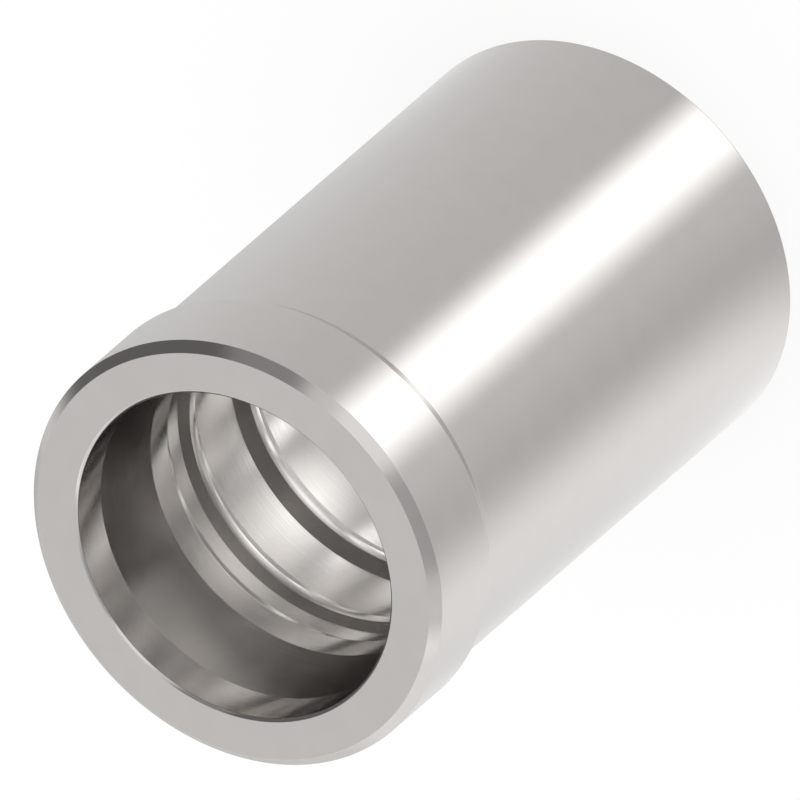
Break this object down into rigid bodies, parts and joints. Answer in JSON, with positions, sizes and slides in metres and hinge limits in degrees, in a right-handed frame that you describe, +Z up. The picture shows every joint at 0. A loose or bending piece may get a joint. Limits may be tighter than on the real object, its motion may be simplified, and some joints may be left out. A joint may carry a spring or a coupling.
{
  "type": "crimp hose ferrule",
  "caption": "Turned steel ferrule for crimping a hydraulic hose onto its insert: plain crimping body, collar with a locking lip, toothed bore.",
  "frame": {"origin": "centre of the hose-end face, which the ferrule stands on", "axes": "+Z up along the bore axis, from the hose end to the collar; X and Y are free, because the ferrule is round"},
  "size_m": [0.047, 0.047, 0.072],
  "materials": {
    "plated_steel": "fine turned, bright zinc plated"
  },
  "bodies": {
    "root": {"ferrule": "plated_steel"}
  },
  "joints": []
}
